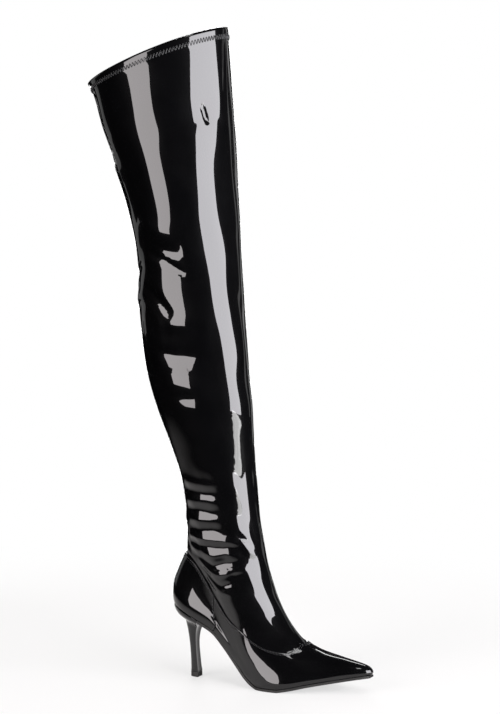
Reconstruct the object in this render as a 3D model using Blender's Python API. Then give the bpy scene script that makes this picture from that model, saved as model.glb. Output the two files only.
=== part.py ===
import bmesh
import bpy
import numpy as np
from math import cos, pi, sin

# Driving sizes, in metres. X runs to the toe, Y to the inner side, Z up.
FOOT_LENGTH = 0.240
BOOT_HEIGHT = 0.730
SEAT_HEIGHT = 0.085
BALL_WIDTH = 0.078
UPPER_WALL = 0.0014
OVERLAY_WALL = 0.0012
SOLE_WALL = 0.0027
INSOLE_WALL = 0.0022
TOP_PIECE_HEIGHT = 0.0060
GAP = 0.0003
SEAM_GAP = 0.0009
SOLE_MARGIN = 0.0020
SOLE_BEVEL = 0.0007
INSOLE_CLEARANCE = 0.0009

# Zip, slider and pull tab.
ZIP_SLOT = 0.0080
ZIP_COIL = 0.0046
ZIP_COIL_RISE = 0.0006
ZIP_TAPE = 0.0220
ZIP_TAPE_WALL = 0.0008
SLIDER_LENGTH = 0.0110
SLIDER_LIFT = 0.0010
SLIDER_WALL = 0.0012
SLIDER_FOOT = 0.0008
SLIDER_CLEARANCE = 0.0004
SLOT_CLEARANCE = 0.0006
EAR_LENGTH = 0.0036
EAR_WALL = 0.0009
EAR_INSET = 0.0002
EAR_CROWN = 0.0014
PIN_RADIUS = 0.0007
PIN_RISE = 0.0021
EYE_RADIUS = 0.0016
PULL_LENGTH = 0.0240
PULL_WIDTH = 0.0062
PULL_WALL = 0.0012
PULL_NECK = 0.0060
PULL_SHOULDER = 0.0002
PULL_FLARE = 0.0025
PULL_CORNER = 0.0015

# Grid of the upper: columns around and rows from feather edge to collar.
COLUMNS = 56
PUMP_ROWS = 10
SHAFT_ROWS = 22

# Least part of a column left between a seam and the next column.
COLUMN_MARGIN = 0.15

# Steps of u and of t for slopes, and the rings over which the wall turns from
# following the sole to following the surface.
AROUND_STEP = 0.002
RING_STEP = 0.02
FEATHER_RINGS = 0.8

HALF_BALL = BALL_WIDTH / 2

# One row per ring of the last, feather edge first. back_x and front_x are shares
# of FOOT_LENGTH, outer and inner of HALF_BALL. The rises are shares of the way up
# from the feather edge at the heel or toe to BOOT_HEIGHT. oval blends the foot
# outline to an oval; follow is how far the ring follows the sole.
RING_COLUMNS = ("back_x", "back_rise", "front_x", "front_rise", "outer", "inner", "oval", "follow")
RINGS = (
    (-0.104, 0.0000, 0.878, 0.0000, 0.97, 1.00, 0.00, 1.00),
    (-0.109, 0.0097, 0.884, 0.0056, 1.01, 1.04, 0.00, 1.00),
    (-0.111, 0.0221, 0.858, 0.0123, 0.99, 1.01, 0.05, 0.97),
    (-0.103, 0.0402, 0.758, 0.0200, 0.91, 0.94, 0.12, 0.85),
    (-0.078, 0.0640, 0.640, 0.0287, 0.84, 0.86, 0.25, 0.70),
    (-0.046, 0.0900, 0.548, 0.0431, 0.80, 0.82, 0.45, 0.52),
    (-0.041, 0.1048, 0.475, 0.0709, 0.80, 0.81, 0.65, 0.34),
    (-0.039, 0.1183, 0.417, 0.1059, 0.81, 0.81, 0.82, 0.18),
    (-0.040, 0.1342, 0.375, 0.1429, 0.83, 0.82, 0.95, 0.06),
    (-0.041, 0.1523, 0.344, 0.1851, 0.86, 0.85, 1.00, 0.00),
    (-0.043, 0.1806, 0.319, 0.2314, 0.88, 0.88, 1.00, 0.00),
    (-0.066, 0.2270, 0.300, 0.2880, 0.95, 0.95, 1.00, 0.00),
    (-0.108, 0.2734, 0.285, 0.3364, 1.03, 1.03, 1.00, 0.00),
    (-0.196, 0.3560, 0.267, 0.4125, 1.20, 1.20, 1.00, 0.00),
    (-0.254, 0.4386, 0.245, 0.4897, 1.29, 1.29, 1.00, 0.00),
    (-0.275, 0.5247, 0.228, 0.5710, 1.31, 1.31, 1.00, 0.00),
    (-0.285, 0.6084, 0.217, 0.6533, 1.32, 1.32, 1.00, 0.00),
    (-0.333, 0.6888, 0.202, 0.7387, 1.41, 1.41, 1.00, 0.00),
    (-0.400, 0.7601, 0.185, 0.8241, 1.53, 1.53, 1.00, 0.00),
    (-0.475, 0.8291, 0.158, 0.9125, 1.64, 1.64, 1.00, 0.00),
    (-0.530, 0.8993, 0.130, 1.0000, 1.70, 1.70, 1.00, 0.00),
)
TOPLINE_RING = 5.0
OVERLAY_START = 0.14

# Ring that the pump's top edge runs along, from the heel to the throat, and the
# stations where the side seam starts at the sole and ends at the top edge.
TOPLINE_COLUMNS = ("station", "ring")
TOPLINE = (
    (0.00, 5.00),
    (0.06, 5.38),
    (0.12, 5.50),
    (0.17, 5.32),
    (0.22, 5.05),
    (0.29, 4.87),
    (0.40, 4.87),
    (0.50, 4.93),
    (0.56, 4.80),
    (0.62, 4.55),
    (0.68, 4.15),
    (0.73, 3.86),
    (0.78, 3.80),
    (0.84, 4.00),
    (0.91, 4.42),
    (0.96, 4.78),
    (1.00, 4.90),
)
SIDE_SEAM = (0.243, 0.312)

# Plan of the last against the station from heel 0 to toe 1, as fullness of an oval.
OUTLINE_COLUMNS = ("station", "outer", "inner", "drift")
OUTLINE = (
    (0.00, 1.10, 1.10, 0.000),
    (0.05, 1.04, 1.04, 0.000),
    (0.12, 0.91, 0.91, -0.005),
    (0.22, 0.75, 0.70, -0.020),
    (0.34, 0.69, 0.57, -0.030),
    (0.45, 0.82, 0.68, -0.020),
    (0.55, 1.01, 0.92, -0.005),
    (0.64, 1.04, 1.02, 0.020),
    (0.74, 0.90, 0.96, 0.050),
    (0.85, 0.70, 0.78, 0.085),
    (0.93, 0.62, 0.66, 0.105),
    (1.00, 0.60, 0.60, 0.110),
)

# Height of the feather edge over the floor, as a share of SEAT_HEIGHT.
SOLE_COLUMNS = ("station", "height")
SOLE = (
    (0.000, 1.000),
    (0.080, 0.906),
    (0.160, 0.812),
    (0.200, 0.762),
    (0.245, 0.690),
    (0.310, 0.500),
    (0.378, 0.285),
    (0.424, 0.150),
    (0.460, 0.075),
    (0.500, 0.030),
    (0.585, 0.030),
    (0.640, 0.056),
    (0.740, 0.118),
    (0.860, 0.178),
    (0.960, 0.226),
    (1.000, 0.241),
)

# Stiletto heel under the seat, top row first. Heights are shares of SEAT_HEIGHT,
# lengths of FOOT_LENGTH, width of HALF_BALL; seat blends to the seat outline.
HEEL_COLUMNS = ("back_z", "front_z", "back_x", "front_x", "width", "seat")
HEEL = (
    (0.970, 0.790, -0.103, 0.050, 0.620, 1.0),
    (0.880, 0.755, -0.088, 0.040, 0.480, 0.5),
    (0.790, 0.705, -0.063, 0.022, 0.270, 0.0),
    (0.680, 0.630, -0.049, 0.010, 0.180, 0.0),
    (0.550, 0.530, -0.040, 0.005, 0.140, 0.0),
    (0.420, 0.420, -0.034, 0.005, 0.124, 0.0),
    (0.280, 0.280, -0.030, 0.009, 0.128, 0.0),
    (0.140, 0.140, -0.028, 0.014, 0.136, 0.0),
)
TOP_PIECE_COLUMNS = ("back_x", "front_x", "width")
TOP_PIECE = (-0.0285, 0.0180, 0.145)
HEEL_BACK_POINTS = 20
HEEL_BREAST_POINTS = 6
HEEL_BREAST_HOLLOW = 0.05
BREAST_STATION = 0.158
INSOLE_END = 0.965

# How far the outsole stands out past the feather edge, as a share of SOLE_MARGIN.
SOLE_EDGE_COLUMNS = ("station", "margin")
SOLE_EDGE = (
    (0.15, 0.75),
    (0.30, 0.50),
    (0.45, 1.00),
    (1.00, 1.00),
)

# The zip on the inner side: station around the ring, rows where its slot ends.
ZIP_STATION = 0.60
ZIP_FIRST_ROW = PUMP_ROWS + 3
ZIP_LAST_ROW = PUMP_ROWS + 13

# Rings that the tape runs past the slot, that the coil stops short of it, and
# that the closed slider sits below the slot's top.
TAPE_PAST = 0.20
COIL_SHORT = 0.06
SLIDER_DROP = 0.28


def smooth(table, column, x):
    # Cubic curve through one column of a table, its first column being the position.
    knots = np.array([row[0] for row in table])
    values = np.array([row[column] for row in table])
    slopes = np.gradient(values, knots)
    x = np.clip(np.asarray(x, float), knots[0], knots[-1])
    i = np.clip(np.searchsorted(knots, x, side="right") - 1, 0, len(knots) - 2)
    span = knots[i + 1] - knots[i]
    q = (x - knots[i]) / span
    a = values[i] * (2 * q**3 - 3 * q**2 + 1)
    b = slopes[i] * span * (q**3 - 2 * q**2 + q)
    c = values[i + 1] * (3 * q**2 - 2 * q**3)
    d = slopes[i + 1] * span * (q**3 - q**2)
    return a + b + c + d


NUMBERED_RINGS = tuple((k,) + row for k, row in enumerate(RINGS))
LAST_RING = len(RINGS) - 1.0


def ring_value(name, t):
    return smooth(NUMBERED_RINGS, RING_COLUMNS.index(name) + 1, t)


def outline_value(name, station):
    return smooth(OUTLINE, OUTLINE_COLUMNS.index(name), station)


def sole_height(station):
    # The feather edge keeps one level under the ball, so the sole rests on a flat there.
    height = SEAT_HEIGHT * smooth(SOLE, SOLE_COLUMNS.index("height"), station)
    return np.maximum(height, SOLE_WALL + GAP)


def sole_level(x):
    # Height of the feather edge at x, straight between the upper's columns.
    angle = 2 * pi * np.arange(COLUMNS // 2 + 1) / COLUMNS
    station = (1 - np.cos(angle)) / 2
    back_x = FOOT_LENGTH * RINGS[0][0]
    front_x = FOOT_LENGTH * RINGS[0][2]
    places = back_x + (front_x - back_x) * station
    slope = (SOLE[1][1] - SOLE[0][1]) * SEAT_HEIGHT / (SOLE[1][0] * (front_x - back_x))
    return float(np.interp(x, places, sole_height(station)) + min(x - back_x, 0.0) * slope)


def last_point(u, t):
    # u runs from the back (0) over the outer side to the front (0.5) and back inside.
    angle = 2 * pi * np.asarray(u, float)
    station = (1 - np.cos(angle)) / 2
    outer = np.sin(angle) >= 0
    back_x = FOOT_LENGTH * ring_value("back_x", t)
    front_x = FOOT_LENGTH * ring_value("front_x", t)
    heel_level = sole_height(0.0)
    toe_level = sole_height(1.0)
    back_z = heel_level + (BOOT_HEIGHT - heel_level) * ring_value("back_rise", t)
    front_z = toe_level + (BOOT_HEIGHT - toe_level) * ring_value("front_rise", t)
    oval = ring_value("oval", t)
    half = HALF_BALL * np.where(outer, ring_value("outer", t), ring_value("inner", t))
    plan = np.where(outer, outline_value("outer", station), outline_value("inner", station))
    full = plan * (1 - oval) + oval
    drift = HALF_BALL * outline_value("drift", station) * (1 - oval)
    dip = sole_height(station) - (heel_level * (1 - station) + toe_level * station)
    x = back_x + (front_x - back_x) * station
    y = drift - half * np.sin(angle) * full
    z = back_z + (front_z - back_z) * station + ring_value("follow", t) * dip
    return np.stack([x, y, z], axis=-1)


def surface(u, t, out=0.0):
    # Point of the upper's outside, moved out along the surface normal.
    u = np.asarray(u, float)
    t = np.asarray(t, float)
    step = AROUND_STEP
    t_low = np.clip(t - step, 0.0, LAST_RING)
    t_high = np.clip(t + step, 0.0, LAST_RING)
    along = last_point(u + step, t) - last_point(u - step, t)
    up = last_point(u, t_high) - last_point(u, t_low)
    normal = np.cross(along, up)
    # At the feather edge the walls thicken along the sole, so their lower edges meet it.
    blend = np.clip(t / FEATHER_RINGS, 0.0, 1.0)
    station = (1 - np.cos(2 * pi * u)) / 2
    run = FOOT_LENGTH * (RINGS[0][2] - RINGS[0][0])
    slope = (sole_height(station + step) - sole_height(station - step)) / (2 * step * run)
    normal[..., 2] = normal[..., 2] * blend + normal[..., 0] * slope * (1 - blend)
    normal /= np.linalg.norm(normal, axis=-1, keepdims=True)
    return last_point(u, t) + normal * np.asarray(out, float)[..., None]


def topline(u):
    # Ring number of the pump's top edge, the same on both sides.
    station = (1 - np.cos(2 * pi * np.asarray(u, float))) / 2
    return smooth(TOPLINE, TOPLINE_COLUMNS.index("ring"), station)


def zip_u():
    angle = np.arccos(1 - 2 * ZIP_STATION)
    return 1 - angle / (2 * pi)


def u_for_width(t, width):
    # The share of the ring that is width metres long at the zip.
    step = AROUND_STEP
    t = np.asarray(t, float)
    a = last_point(np.full_like(t, zip_u() - step), t)
    b = last_point(np.full_like(t, zip_u() + step), t)
    return width * 2 * step / np.linalg.norm(b - a, axis=-1)


def row_places():
    # Rows by ring number: even over the pump, then close at the ankle, wider above.
    pump = np.linspace(0.0, TOPLINE_RING, PUMP_ROWS + 1)
    shaft = np.linspace(TOPLINE_RING, LAST_RING, SHAFT_ROWS + 1)[1:]
    return np.concatenate([pump, shaft])


def grid(rows):
    # u and t for every row and column; pump rows follow the topline's dip.
    base = np.arange(COLUMNS) / COLUMNS
    u = np.tile(base, (len(rows), 1))
    first = int(zip_u() * COLUMNS)
    shift = u_for_width(rows, ZIP_SLOT / 2)
    inside = np.clip((rows - TOPLINE_RING) / (rows[ZIP_FIRST_ROW] - TOPLINE_RING), 0.0, 1.0)
    for column, side in ((first, -1), (first + 1, 1)):
        u[:, column] += inside * (zip_u() + side * shift - u[:, column])
    share = np.clip(rows / TOPLINE_RING, 0.0, 1.0)
    fade = np.clip((rows - TOPLINE_RING) / 2.0, 0.0, 1.0)
    pull_down = (TOPLINE_RING - topline(u)) * (share * (1 - fade))[:, None]
    return u, rows[:, None] - pull_down


def remove_objects():
    for item in list(bpy.data.objects):
        bpy.data.objects.remove(item, do_unlink=True)


def material(name, colour, roughness, metallic=0.0, coat=0.0):
    made = bpy.data.materials.new(name)
    made.use_nodes = True
    shader = made.node_tree.nodes["Principled BSDF"]
    shader.inputs["Base Color"].default_value = (*colour, 1.0)
    shader.inputs["Roughness"].default_value = roughness
    shader.inputs["Metallic"].default_value = metallic
    shader.inputs["Coat Weight"].default_value = coat
    made.diffuse_color = (*colour, 1.0)
    return made


def solid(name, points, faces, surface_material, origin=(0.0, 0.0, 0.0)):
    shape = bpy.data.meshes.new(name)
    base = np.array(origin)
    shape.from_pydata([tuple(p - base) for p in points], [], faces)
    body = bmesh.new()
    body.from_mesh(shape)
    bmesh.ops.remove_doubles(body, verts=body.verts, dist=1e-6)
    bmesh.ops.recalc_face_normals(body, faces=body.faces)
    bmesh.ops.triangulate(body, faces=body.faces)
    body.to_mesh(shape)
    body.free()
    item = bpy.data.objects.new(name, shape)
    item.location = origin
    shape.materials.append(surface_material)
    PARTS.objects.link(item)
    return item


def shell(name, outside, inside, faces, surface_material):
    # A wall between two point sets of equal layout, closed along every open edge.
    count = len(outside)
    used = {}
    for face in faces:
        for a, b in zip(face, face[1:] + face[:1]):
            used[(a, b)] = True
    closed = [list(face) for face in faces]
    closed += [[count + k for k in reversed(face)] for face in faces]
    for a, b in used:
        if (b, a) not in used:
            closed.append([b, a, count + a, count + b])
    return solid(name, np.concatenate([outside, inside]), closed, surface_material)


def patch(name, u, t, low, high, surface_material):
    # A curved sheet over a grid of u and t, between two distances from the surface.
    rows, columns = u.shape
    outside = surface(u, t, high).reshape(-1, 3)
    inside = surface(u, t, low).reshape(-1, 3)
    faces = []
    for j in range(rows - 1):
        for i in range(columns - 1):
            k = j * columns + i
            faces.append([k, k + 1, k + columns + 1])
            faces.append([k, k + columns + 1, k + columns])
    return shell(name, outside, inside, faces, surface_material)


def make_upper(surface_material):
    rows = row_places()
    u, t = grid(rows)
    outside = surface(u, t, 0.0).reshape(-1, 3)
    inside = surface(u, t, -UPPER_WALL).reshape(-1, 3)
    slot = int(zip_u() * COLUMNS)
    faces = []
    for j in range(len(rows) - 1):
        for i in range(COLUMNS):
            if i == slot and ZIP_FIRST_ROW <= j < ZIP_LAST_ROW:
                continue
            n = (i + 1) % COLUMNS
            a = j * COLUMNS
            b = a + COLUMNS
            faces.append([a + i, a + n, b + n])
            faces.append([a + i, b + n, b + i])
    return shell("upper", outside, inside, faces, surface_material)


def seam_u(t, side):
    # The side seam leans forward from the feather edge to the topline.
    station = SIDE_SEAM[0] + (SIDE_SEAM[1] - SIDE_SEAM[0]) * t / TOPLINE_RING
    u = np.arccos(1 - 2 * station) / (2 * pi)
    return u if side > 0 else 1 - u


def overlay_rows():
    # The overlays share the upper's rows but start a little over the sole.
    rows = np.linspace(0.0, TOPLINE_RING, PUMP_ROWS + 1)
    rows[0] = OVERLAY_START
    return rows


def overlay_grid(first, last, edge_first, edge_last):
    rows = overlay_rows()
    base = np.arange(first, last + 1) / COLUMNS
    u = np.tile(base, (len(rows), 1))
    u = np.concatenate([edge_first[:, None], u, edge_last[:, None]], axis=1)
    share = rows / TOPLINE_RING
    t = rows[:, None] - (TOPLINE_RING - topline(u)) * share[:, None]
    return u, t


def make_overlays(vamp_material, counter_material):
    rows = overlay_rows()
    outer = seam_u(rows, 1)
    inner = seam_u(rows, -1)
    # At the sides one step of u is as long as a circle whose width is the foot's length.
    half_gap = SEAM_GAP / 2 / (pi * FOOT_LENGTH)
    first = int(np.ceil(outer.max() * COLUMNS + COLUMN_MARGIN))
    last = COLUMNS - first
    u, t = overlay_grid(first, last, outer + half_gap, inner - half_gap)
    low = GAP
    high = GAP + OVERLAY_WALL
    patch("vamp", u, t, low, high, vamp_material)
    back = int(np.floor(outer.min() * COLUMNS - COLUMN_MARGIN))
    u, t = overlay_grid(-back, back, inner - 1 + half_gap, outer - half_gap)
    patch("counter", u, t, low, high, counter_material)


def plan_edge(station, side, grow):
    # Point of the feather outline, moved sideways until the edge stands off by grow.
    angle = np.arccos(1 - 2 * station)
    u = angle / (2 * pi)
    if side < 0:
        u = 1 - u
    step = AROUND_STEP / 4
    here = last_point(u, 0.0)
    along = last_point(u + step, 0.0) - last_point(u - step, 0.0)
    normal = np.array([along[1], -along[0]])
    normal /= np.linalg.norm(normal)
    if station in (0.0, 1.0):
        return here[0] + grow * normal[0], here[1]
    # Near the toe and heel the outline turns across, so the sideways step is capped.
    steep = max(abs(normal[1]), 0.5)
    return here[0], here[1] + grow / steep * np.sign(normal[1])


def plate(name, stations, grow, low, high, surface_material, low_inset=0.0):
    # A plate that follows the sole line between two heights over it.
    points = []
    faces = []
    bands = []
    for station in stations:
        tip = station in (0.0, 1.0)
        band = []
        for lift, inset in ((low, low_inset), (high, 0.0)):
            for side in ((1,) if tip else (1, -1)):
                x, y = plan_edge(station, side, grow(station) - inset)
                band.append(len(points))
                points.append(np.array([x, y, sole_level(x) + lift]))
        if tip:
            band = [band[0], band[0], band[1], band[1]]
        bands.append(band)
    for a, b in zip(bands, bands[1:]):
        faces.append([a[0], b[0], b[1], a[1]])
        faces.append([a[2], a[3], b[3], b[2]])
        faces.append([a[0], a[2], b[2], b[0]])
        faces.append([a[1], b[1], b[3], a[3]])
    for band, turn in ((bands[0], 1), (bands[-1], -1)):
        if band[0] != band[1]:
            faces.append([band[0], band[1], band[3], band[2]][::turn])
    tidy = []
    for face in faces:
        kept = [k for n, k in enumerate(face) if k != face[n - 1]]
        if len(kept) > 2:
            tidy.append(kept)
    return solid(name, points, tidy, surface_material)


def station_list(first, last):
    # The stations of the upper's columns between first and last, with both ends.
    angle = 2 * pi * np.arange(COLUMNS // 2 + 1) / COLUMNS
    places = [float(p) for p in (1 - np.cos(angle)) / 2]
    margin = 0.004
    return [first] + [p for p in places if first + margin < p < last - margin] + [last]


def make_sole(sole_material, insole_material):
    places = [row[0] for row in SOLE_EDGE]
    margins = [SOLE_MARGIN * row[1] for row in SOLE_EDGE]

    def sole_grow(station):
        return float(np.interp(station, places, margins))

    def insole_grow(station):
        return -UPPER_WALL - INSOLE_CLEARANCE

    stations = station_list(BREAST_STATION, 1.0)
    low = -GAP - SOLE_WALL
    plate("outsole", stations, sole_grow, low, -GAP, sole_material, low_inset=SOLE_BEVEL)
    stations = station_list(0.0, INSOLE_END)
    plate("insole", stations, insole_grow, 0.0, INSOLE_WALL, insole_material)


def heel_ring(row, top):
    back_z, front_z, back_x, front_x, width, seat = row
    x0 = FOOT_LENGTH * back_x
    x1 = FOOT_LENGTH * front_x
    first_x = FOOT_LENGTH * RINGS[0][0]
    foot = FOOT_LENGTH * (RINGS[0][2] - RINGS[0][0])
    points = []
    for k in range(HEEL_BACK_POINTS + 1):
        q = (k / HEEL_BACK_POINTS - 0.5) * pi
        x = x0 + (x1 - x0) * (1 - cos(q))
        y = HALF_BALL * width * sin(q)
        if seat:
            station = min(max((x - first_x) / foot, 0.0005), 1.0)
            side = 1 if q < 0 else -1
            edge_y = plan_edge(station, side, GAP + OVERLAY_WALL)[1]
            y += seat * ((edge_y if abs(q) > 1e-6 else 0.0) - y)
        points.append([x, y])
    first, last = points[-1], points[0]
    for k in range(1, HEEL_BREAST_POINTS):
        share = k / HEEL_BREAST_POINTS
        hollow = HEEL_BREAST_HOLLOW * (x1 - x0) * sin(pi * share)
        points.append([x1 - hollow, first[1] + (last[1] - first[1]) * share])
    ring = []
    for x, y in points:
        share = (x - x0) / (x1 - x0)
        z = SEAT_HEIGHT * (back_z + (front_z - back_z) * share)
        if top:
            z = sole_level(x) - GAP
        ring.append(np.array([x, y, z]))
    return ring


def loft(name, rings, surface_material, origin=(0.0, 0.0, 0.0)):
    count = len(rings[0])
    faces = []
    for j in range(len(rings) - 1):
        for i in range(count):
            n = (i + 1) % count
            faces.append([j * count + i, j * count + n, (j + 1) * count + n, (j + 1) * count + i])
    faces.append(list(range(count))[::-1])
    faces.append(list(range((len(rings) - 1) * count, len(rings) * count)))
    points = [p for ring in rings for p in ring]
    return solid(name, points, faces, surface_material, origin)


def make_heel(heel_material, tip_material):
    rings = [heel_ring(HEEL[0], True)]
    rings += [heel_ring(row, False) for row in HEEL]
    back_x, front_x, width = TOP_PIECE
    seat = (TOP_PIECE_HEIGHT + GAP) / SEAT_HEIGHT
    rings.append(heel_ring((seat, seat, back_x, front_x, width, 0.0), False))
    loft("heel", rings, heel_material)
    top = TOP_PIECE_HEIGHT / SEAT_HEIGHT
    tip = [heel_ring((level, level, back_x, front_x, width, 0.0), False) for level in (top, 0.0)]
    loft("top_piece", tip, tip_material)


def zip_frame(t):
    # Place on the zip's line with its across, up and outward directions.
    u = np.array(zip_u())
    t = np.array(t)
    here = surface(u, t)
    up = surface(u, t + RING_STEP) - surface(u, t - RING_STEP)
    up /= np.linalg.norm(up)
    out = surface(u, t, 1.0) - here
    out -= up * out.dot(up)
    out /= np.linalg.norm(out)
    return here, (np.cross(up, out), up, out)


def bar(name, outline, span, direction, place, surface_material, origin=(0.0, 0.0, 0.0)):
    # An outline drawn over a span along direction 0 across, 1 up or 2 out of the zip.
    base, axes = place
    rings = []
    for level in span:
        ring = []
        for pair in outline:
            offset = list(pair)
            offset.insert(direction, level)
            ring.append(base + sum(axis * length for axis, length in zip(axes, offset)))
        rings.append(ring)
    return loft(name, rings, surface_material, origin)


def mirrored(half):
    # A closed outline from its right half.
    return half + [(-a, b) for a, b in reversed(half)]


def disc(radius, rise, count=16):
    turns = [2 * pi * k / count for k in range(count)]
    return [(radius * cos(q), rise + radius * sin(q)) for q in turns]


def join(name, pieces):
    # Closed pieces that pass into one another, made one solid.
    first = pieces[0]
    for other in pieces[1:]:
        union = first.modifiers.new("join", "BOOLEAN")
        union.operation = "UNION"
        union.solver = "EXACT"
        union.object = other
        bpy.context.view_layer.objects.active = first
        bpy.ops.object.modifier_apply(modifier=union.name)
        bpy.data.objects.remove(other, do_unlink=True)
    first.name = name
    return first


def zip_strip(name, rows, width, across, low, high, surface_material):
    # A strip along the zip's line, with the rows of the upper beside it.
    share = u_for_width(rows, width)
    u = zip_u() + share[:, None] * np.array(across)[None, :]
    t = np.tile(rows[:, None], (1, len(across)))
    return patch(name, u, t, low, high, surface_material)


def make_zip_strips(tape_material, coil_material):
    middle = row_places()[ZIP_FIRST_ROW:ZIP_LAST_ROW + 1]
    rows = np.concatenate([[middle[0] - TAPE_PAST], middle, [middle[-1] + TAPE_PAST]])
    high = -UPPER_WALL - GAP
    across = (-0.5, -0.25, 0.0, 0.25, 0.5)
    zip_strip("zip_tape", rows, ZIP_TAPE, across, high - ZIP_TAPE_WALL, high, tape_material)
    rows = middle.copy()
    rows[0] += COIL_SHORT
    rows[-1] -= COIL_SHORT
    across = (-0.5, 0.0, 0.5)
    zip_strip("zip_coil", rows, ZIP_COIL, across, -UPPER_WALL, ZIP_COIL_RISE, coil_material)


def make_slider(slider_material, pull_material):
    base, axes = zip_frame(row_places()[ZIP_LAST_ROW] - SLIDER_DROP)
    place = (base, axes)
    leg = ZIP_COIL / 2 + SLIDER_CLEARANCE
    edge = ZIP_SLOT / 2 - SLOT_CLEARANCE
    top = SLIDER_LIFT + SLIDER_WALL
    pin_out = top + PIN_RISE
    half = [(leg, SLIDER_LIFT), (leg, -SLIDER_FOOT), (edge, -SLIDER_FOOT), (edge, top)]
    span = (-SLIDER_LENGTH / 2, SLIDER_LENGTH / 2)
    pieces = [bar("slider_body", mirrored(half), span, 1, place, slider_material)]
    half = [
        (EAR_LENGTH / 2, top - SLIDER_WALL / 4),
        (0.39 * EAR_LENGTH, pin_out + 0.57 * EAR_CROWN),
        (0.17 * EAR_LENGTH, pin_out + EAR_CROWN),
    ]
    outer_face = edge - EAR_INSET
    inner_face = outer_face - EAR_WALL
    for span in ((-outer_face, -inner_face), (inner_face, outer_face)):
        pieces.append(bar("ear", mirrored(half), span, 0, place, slider_material))
    span = (-outer_face + EAR_WALL / 2, outer_face - EAR_WALL / 2)
    pieces.append(bar("pin", disc(PIN_RADIUS, pin_out), span, 0, place, slider_material))
    join("zip_slider", pieces)
    make_pull(base + axes[2] * pin_out, axes, inner_face - SLIDER_CLEARANCE, pull_material)


def make_pull(hinge, axes, eye_half, pull_material):
    # The pull hangs from the slider's pin, and its origin lies on the pin's axis.
    place = (hinge, axes)
    origin = tuple(hinge)
    span = (-eye_half, eye_half)
    eye = bar("eye", disc(EYE_RADIUS, 0.0), span, 0, place, pull_material, origin)
    neck = eye_half - PULL_SHOULDER
    half = [
        (neck, -(PIN_RADIUS + GAP + EYE_RADIUS) / 2),
        (neck, -PULL_NECK),
        (PULL_WIDTH / 2, -PULL_NECK - PULL_FLARE),
        (PULL_WIDTH / 2, -PULL_LENGTH + PULL_CORNER),
        (PULL_WIDTH / 2 - PULL_CORNER, -PULL_LENGTH),
    ]
    span = (-PULL_WALL / 2, PULL_WALL / 2)
    tab = bar("tab", mirrored(half), span, 2, place, pull_material, origin)
    pull = join("zip_pull", [eye, tab])
    reach = eye_half + EAR_WALL
    outline = disc(PIN_RADIUS + GAP, 0.0)
    bore = bar("eye_bore", outline, (-reach, reach), 0, place, pull_material, origin)
    PARTS.objects.unlink(bore)
    CUTTERS.objects.link(bore)
    bore.hide_render = True
    bore.display_type = "WIRE"
    cut = pull.modifiers.new("bore", "BOOLEAN")
    cut.operation = "DIFFERENCE"
    cut.solver = "EXACT"
    cut.object = bore


remove_objects()
PARTS = bpy.data.collections.new("over_the_knee_boot")
CUTTERS = bpy.data.collections.new("cutters")
bpy.context.scene.collection.children.link(PARTS)
bpy.context.scene.collection.children.link(CUTTERS)

patent = material("patent_stretch", (0.012, 0.012, 0.014), 0.12, coat=1.0)
vamp_patent = material("patent_vamp", (0.012, 0.012, 0.014), 0.10, coat=1.0)
counter_patent = material("patent_counter", (0.012, 0.012, 0.014), 0.10, coat=1.0)
heel_patent = material("patent_heel", (0.012, 0.012, 0.014), 0.10, coat=1.0)
sole_rubber = material("sole_rubber", (0.02, 0.02, 0.02), 0.6)
insole_sheet = material("insole_sheet", (0.05, 0.05, 0.05), 0.7)
tip_rubber = material("top_piece_rubber", (0.02, 0.02, 0.02), 0.5)
tape_cloth = material("zip_tape_cloth", (0.02, 0.02, 0.02), 0.9)
coil_plastic = material("zip_coil_plastic", (0.03, 0.03, 0.03), 0.4)
slider_metal = material("zip_slider_metal", (0.10, 0.10, 0.10), 0.3, metallic=1.0)
pull_metal = material("zip_pull_metal", (0.10, 0.10, 0.10), 0.3, metallic=1.0)

make_upper(patent)
make_overlays(vamp_patent, counter_patent)
make_sole(sole_rubber, insole_sheet)
make_heel(heel_patent, tip_rubber)
make_zip_strips(tape_cloth, coil_plastic)
make_slider(slider_metal, pull_metal)
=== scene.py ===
import bmesh
import bpy
import numpy as np
from math import cos, pi, radians, sin
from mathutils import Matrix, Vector


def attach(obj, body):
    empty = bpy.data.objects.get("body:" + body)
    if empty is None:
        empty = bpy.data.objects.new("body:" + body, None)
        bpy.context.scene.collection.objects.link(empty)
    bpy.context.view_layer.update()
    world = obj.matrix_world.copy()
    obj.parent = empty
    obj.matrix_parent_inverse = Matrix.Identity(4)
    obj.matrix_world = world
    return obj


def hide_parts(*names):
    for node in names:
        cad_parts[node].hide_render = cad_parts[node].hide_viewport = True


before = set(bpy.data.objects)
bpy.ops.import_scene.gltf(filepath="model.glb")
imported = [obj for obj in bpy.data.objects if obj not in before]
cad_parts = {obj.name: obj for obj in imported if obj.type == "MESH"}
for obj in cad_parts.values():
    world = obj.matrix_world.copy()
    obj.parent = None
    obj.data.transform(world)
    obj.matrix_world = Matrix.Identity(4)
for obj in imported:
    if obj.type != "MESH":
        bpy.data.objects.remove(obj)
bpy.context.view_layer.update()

# Camera
# The photograph's own view: three metres away at the height of the hem, turned a
# little towards the toe and tipped down to the middle of the boot, without shift.
PICTURE_HEIGHT = 714
CAMERA_AZIMUTH = radians(26)
CAMERA_DISTANCE = 3.08
CAMERA_HEIGHT = 0.70
CAMERA_ASIDE = radians(1.12)
CAMERA_DOWN = radians(6.23)
FOCAL_PIXELS = 2766

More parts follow.
